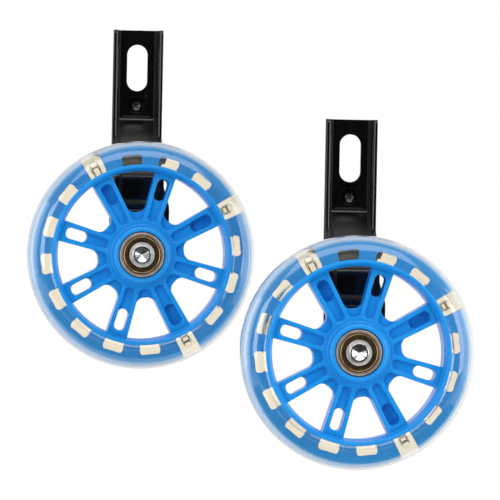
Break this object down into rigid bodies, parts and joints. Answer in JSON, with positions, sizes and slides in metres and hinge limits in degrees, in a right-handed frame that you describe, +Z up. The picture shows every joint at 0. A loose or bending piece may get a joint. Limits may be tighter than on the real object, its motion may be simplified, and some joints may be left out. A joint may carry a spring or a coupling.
{
  "type": "bicycle training wheels",
  "caption": "Pair of training wheels: clear cast tyres on blue spoked wheels with flashing lamps, turning on ball bearings on black steel brackets that bolt under the bicycle's axle nuts.",
  "frame": {"origin": "middle of the left bracket's axle slot, on its face to the bicycle", "axes": "+Z up along the brackets, +Y towards the bicycle along the axles, +X to the right seen from outside"},
  "size_m": [0.2051, 0.1824, 0.2087],
  "materials": {
    "black_paint": "gloss black paint on pressed steel",
    "axle_steel": "polished steel",
    "zinc_steel": "zinc-plated steel",
    "ferrite": "dull dark ferrite",
    "blue_plastic": "moulded plastic, semi-gloss",
    "clear_tyre": "clear cast polyurethane, glossy",
    "lamp_resin": "clear resin",
    "lead_steel": "tinned wire",
    "copper_wire": "enamelled copper wire",
    "soft_iron": "bare iron",
    "bearing_steel": "ground bearing steel",
    "cage_steel": "pressed steel",
    "bearing_shield": "bronze-coloured pressed shield"
  },
  "bodies": {
    "brackets": {"left_bracket": "black_paint", "left_axle": "axle_steel", "left_rear_washer": "zinc_steel", "left_rear_spacer": "zinc_steel", "left_bearing_spacer": "zinc_steel", "left_magnet_ring": "ferrite", "left_front_bearing_inner_ring": "bearing_steel", "left_rear_bearing_inner_ring": "bearing_steel", "right_bracket": "black_paint", "right_axle": "axle_steel", "right_rear_washer": "zinc_steel", "right_rear_spacer": "zinc_steel", "right_bearing_spacer": "zinc_steel", "right_magnet_ring": "ferrite", "right_front_bearing_inner_ring": "bearing_steel", "right_rear_bearing_inner_ring": "bearing_steel"},
    "left_wheel": {"left_wheel_core": "blue_plastic", "left_tyre": "clear_tyre", "left_led_lenses": "lamp_resin", "left_led_leads": "lead_steel", "left_coil_windings": "copper_wire", "left_coil_cores": "soft_iron", "left_front_bearing_outer_ring": "bearing_steel", "left_front_bearing_outer_shield": "bearing_shield", "left_front_bearing_inner_shield": "bearing_shield", "left_rear_bearing_outer_ring": "bearing_steel", "left_rear_bearing_outer_shield": "bearing_shield", "left_rear_bearing_inner_shield": "bearing_shield"},
    "left_front_cage": {"left_front_bearing_balls": "bearing_steel", "left_front_bearing_cage": "cage_steel"},
    "left_rear_cage": {"left_rear_bearing_balls": "bearing_steel", "left_rear_bearing_cage": "cage_steel"},
    "right_wheel": {"right_wheel_core": "blue_plastic", "right_tyre": "clear_tyre", "right_led_lenses": "lamp_resin", "right_led_leads": "lead_steel", "right_coil_windings": "copper_wire", "right_coil_cores": "soft_iron", "right_front_bearing_outer_ring": "bearing_steel", "right_front_bearing_outer_shield": "bearing_shield", "right_front_bearing_inner_shield": "bearing_shield", "right_rear_bearing_outer_ring": "bearing_steel", "right_rear_bearing_outer_shield": "bearing_shield", "right_rear_bearing_inner_shield": "bearing_shield"},
    "right_front_cage": {"right_front_bearing_balls": "bearing_steel", "right_front_bearing_cage": "cage_steel"},
    "right_rear_cage": {"right_rear_bearing_balls": "bearing_steel", "right_rear_bearing_cage": "cage_steel"}
  },
  "joints": [
    {"name": "left_wheel_spin", "type": "hinge", "parent": "brackets", "child": "left_wheel", "pos_m": [0, -0.0539, -0.0916], "axis": [0, 1, 0], "continuous": true},
    {"name": "left_front_cage_roll", "type": "hinge", "parent": "brackets", "child": "left_front_cage", "pos_m": [0, -0.0539, -0.0916], "axis": [0, 1, 0], "continuous": true},
    {"name": "left_rear_cage_roll", "type": "hinge", "parent": "brackets", "child": "left_rear_cage", "pos_m": [0, -0.0539, -0.0916], "axis": [0, 1, 0], "continuous": true},
    {"name": "right_wheel_spin", "type": "hinge", "parent": "brackets", "child": "right_wheel", "pos_m": [0.0951, -0.1668, -0.1353], "axis": [0, 1, 0], "continuous": true},
    {"name": "right_front_cage_roll", "type": "hinge", "parent": "brackets", "child": "right_front_cage", "pos_m": [0.0951, -0.1668, -0.1353], "axis": [0, 1, 0], "continuous": true},
    {"name": "right_rear_cage_roll", "type": "hinge", "parent": "brackets", "child": "right_rear_cage", "pos_m": [0.0951, -0.1668, -0.1353], "axis": [0, 1, 0], "continuous": true}
  ],
  "couplings": [
    {"joint": "left_front_cage_roll", "follows": "left_wheel_spin", "ratio": 0.6323},
    {"joint": "left_rear_cage_roll", "follows": "left_wheel_spin", "ratio": 0.6323},
    {"joint": "right_front_cage_roll", "follows": "right_wheel_spin", "ratio": 0.6323},
    {"joint": "right_rear_cage_roll", "follows": "right_wheel_spin", "ratio": 0.6323}
  ]
}
